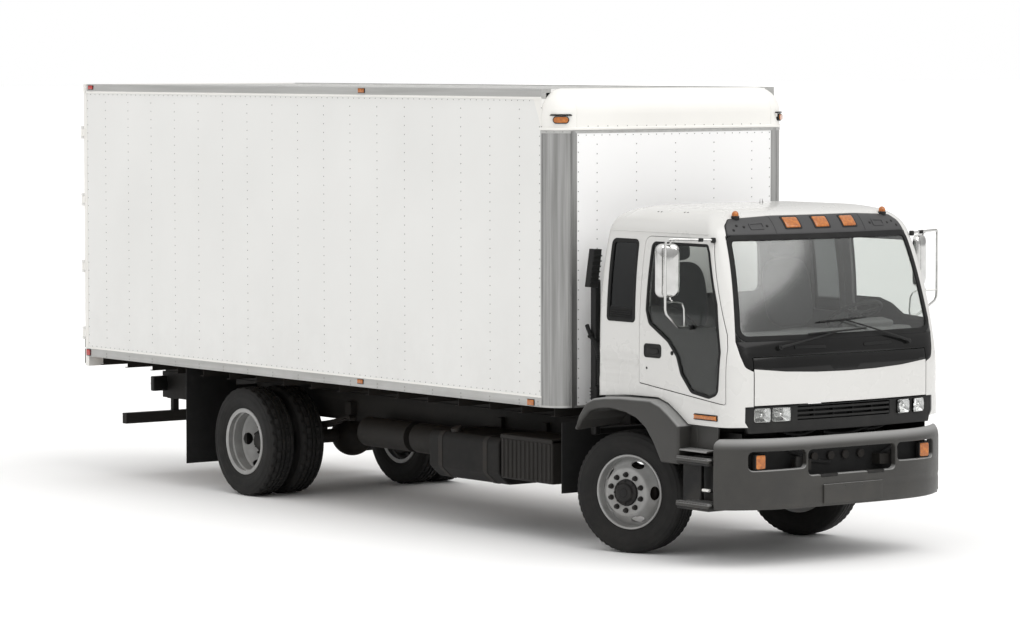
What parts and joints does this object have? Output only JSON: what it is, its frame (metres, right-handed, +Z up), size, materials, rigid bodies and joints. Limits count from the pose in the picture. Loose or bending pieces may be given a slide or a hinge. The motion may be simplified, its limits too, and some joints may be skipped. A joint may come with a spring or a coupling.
{
  "type": "medium-duty cab-over box truck",
  "caption": "Cab-over box truck with a hollow riveted load body, tilting cab, opening doors and front lid, steered front wheels and twin rear wheels.",
  "frame": {"origin": "on the ground, at the middle of the overall length and width", "axes": "+Z up, -Y forwards, +X to the left of the truck"},
  "size_m": [2.84, 9.549, 3.674],
  "materials": {
    "white_paint": "gloss",
    "panel_white": "gloss pre-painted aluminium sheet",
    "aluminium": "satin mill finish",
    "black_chassis": "satin",
    "grey_plastic": "grained",
    "black_plastic": "fine grain",
    "gloss_black": "gloss",
    "tyre": "matte",
    "wheel_silver": "satin silver paint",
    "chrome": "polished",
    "glass": "clear",
    "lamp_clear": "clear lens",
    "amber": "moulded lens",
    "floor_wood": "oiled hardwood boards",
    "interior": "fine grain",
    "seat_fabric": "woven",
    "cast_iron": "painted casting",
    "steel_exhaust": "heat-stained",
    "rubber": "matte"
  },
  "bodies": {
    "truck": {"chassis_frame": "black_chassis", "front_axle": "black_chassis", "leaf_springs": "black_chassis", "rear_axle": "black_chassis", "driveshaft": "black_chassis", "engine_block": "cast_iron", "radiator": "black_chassis", "fuel_tank": "black_chassis", "battery_box": "black_plastic", "air_cleaner": "black_plastic", "exhaust_muffler": "steel_exhaust", "air_tanks": "black_chassis", "front_bumper": "grey_plastic", "marker_lamps": "amber", "fenders": "grey_plastic", "cab_steps": "grey_plastic", "mudflaps": "rubber", "underride_guard": "black_chassis", "box_floor": "floor_wood", "box_side_left": "panel_white", "box_side_right": "panel_white", "box_front_wall": "panel_white", "box_roof": "panel_white", "box_corner_posts": "aluminium", "box_nose": "panel_white", "box_rails": "aluminium", "rear_frame": "white_paint"},
    "cab": {"cab_shell": "white_paint", "cab_floor": "interior", "cowl_panel": "gloss_black", "cab_visor": "black_plastic", "grille": "black_plastic", "headlamps": "lamp_clear", "windshield": "glass", "cab_windows": "glass", "dashboard": "interior", "seats": "seat_fabric"},
    "front_lid": {"front_lid": "white_paint"},
    "cab_door_left": {"door_left": "white_paint", "door_glass_left": "glass", "mirror_left": "chrome"},
    "cab_door_right": {"door_right": "white_paint", "door_glass_right": "glass", "mirror_right": "chrome"},
    "steering_wheel": {"steering_wheel": "interior"},
    "knuckle_left": {"knuckle_left": "cast_iron"},
    "knuckle_right": {"knuckle_right": "cast_iron"},
    "tie_rod": {"tie_rod": "black_chassis"},
    "wheel_front_left": {"wheel_front_left": "wheel_silver", "tyre_front_left": "tyre"},
    "wheel_front_right": {"wheel_front_right": "wheel_silver", "tyre_front_right": "tyre"},
    "wheels_rear_left": {"wheels_rear_left": "wheel_silver", "tyres_rear_left": "tyre"},
    "wheels_rear_right": {"wheels_rear_right": "wheel_silver", "tyres_rear_right": "tyre"},
    "rear_door_left": {"rear_door_left": "panel_white"},
    "rear_door_right": {"rear_door_right": "panel_white"}
  },
  "joints": [
    {"name": "cab_tilt", "type": "hinge", "parent": "truck", "child": "cab", "pos_m": [0, -4.558, 1.08], "axis": [1, 0, 0], "range_deg": [0, 30]},
    {"name": "front_lid_hinge", "type": "hinge", "parent": "cab", "child": "front_lid", "pos_m": [0, -4.685, 1.625], "axis": [-1, 0, 0], "range_deg": [0, 75]},
    {"name": "cab_door_left_hinge", "type": "hinge", "parent": "cab", "child": "cab_door_left", "pos_m": [1.097, -4.527, 1.6], "axis": [0, 0, -1], "range_deg": [0, 70]},
    {"name": "cab_door_right_hinge", "type": "hinge", "parent": "cab", "child": "cab_door_right", "pos_m": [-1.097, -4.527, 1.6], "axis": [0, 0, 1], "range_deg": [0, 70]},
    {"name": "rear_door_left_hinge", "type": "hinge", "parent": "truck", "child": "rear_door_left", "pos_m": [1.225, 4.76, 2.3], "axis": [0, 0, -1], "range_deg": [0, 260]},
    {"name": "rear_door_right_hinge", "type": "hinge", "parent": "truck", "child": "rear_door_right", "pos_m": [-1.225, 4.76, 2.3], "axis": [0, 0, 1], "range_deg": [0, 260]},
    {"name": "steer_left", "type": "hinge", "parent": "truck", "child": "knuckle_left", "pos_m": [0.775, -3.163, 0.488], "axis": [0, 0, 1], "range_deg": [-60, 19]},
    {"name": "steer_right", "type": "hinge", "parent": "truck", "child": "knuckle_right", "pos_m": [-0.775, -3.163, 0.488], "axis": [0, 0, 1], "range_deg": [-60, 19]},
    {"name": "tie_rod_pivot", "type": "hinge", "parent": "knuckle_left", "child": "tie_rod", "pos_m": [0.70111, -2.96643, 0.396], "axis": [0, 0, 1], "range_deg": [-19, 60]},
    {"name": "steering_wheel_turn", "type": "hinge", "parent": "cab", "child": "steering_wheel", "pos_m": [0.55, -4.165, 1.866], "axis": [0, 0.5, 0.866], "range_deg": [-1085, 345]},
    {"name": "front_left_spin", "type": "hinge", "parent": "knuckle_left", "child": "wheel_front_left", "pos_m": [0.92477, -3.10671, 0.488], "axis": [0.9361, 0.3518, 0], "continuous": true},
    {"name": "front_right_spin", "type": "hinge", "parent": "knuckle_right", "child": "wheel_front_right", "pos_m": [-0.92477, -3.21929, 0.488], "axis": [0.9361, 0.3518, 0], "continuous": true},
    {"name": "rear_left_spin", "type": "hinge", "parent": "truck", "child": "wheels_rear_left", "pos_m": [1.012, 2.167, 0.488], "axis": [1, 0, 0], "continuous": true},
    {"name": "rear_right_spin", "type": "hinge", "parent": "truck", "child": "wheels_rear_right", "pos_m": [-1.012, 2.167, 0.488], "axis": [1, 0, 0], "continuous": true}
  ],
  "couplings": [
    {"joint": "steer_right", "follows": "steer_left", "ratio": 1},
    {"joint": "tie_rod_pivot", "follows": "steer_left", "ratio": -1},
    {"joint": "steering_wheel_turn", "follows": "steer_left", "ratio": 18}
  ]
}
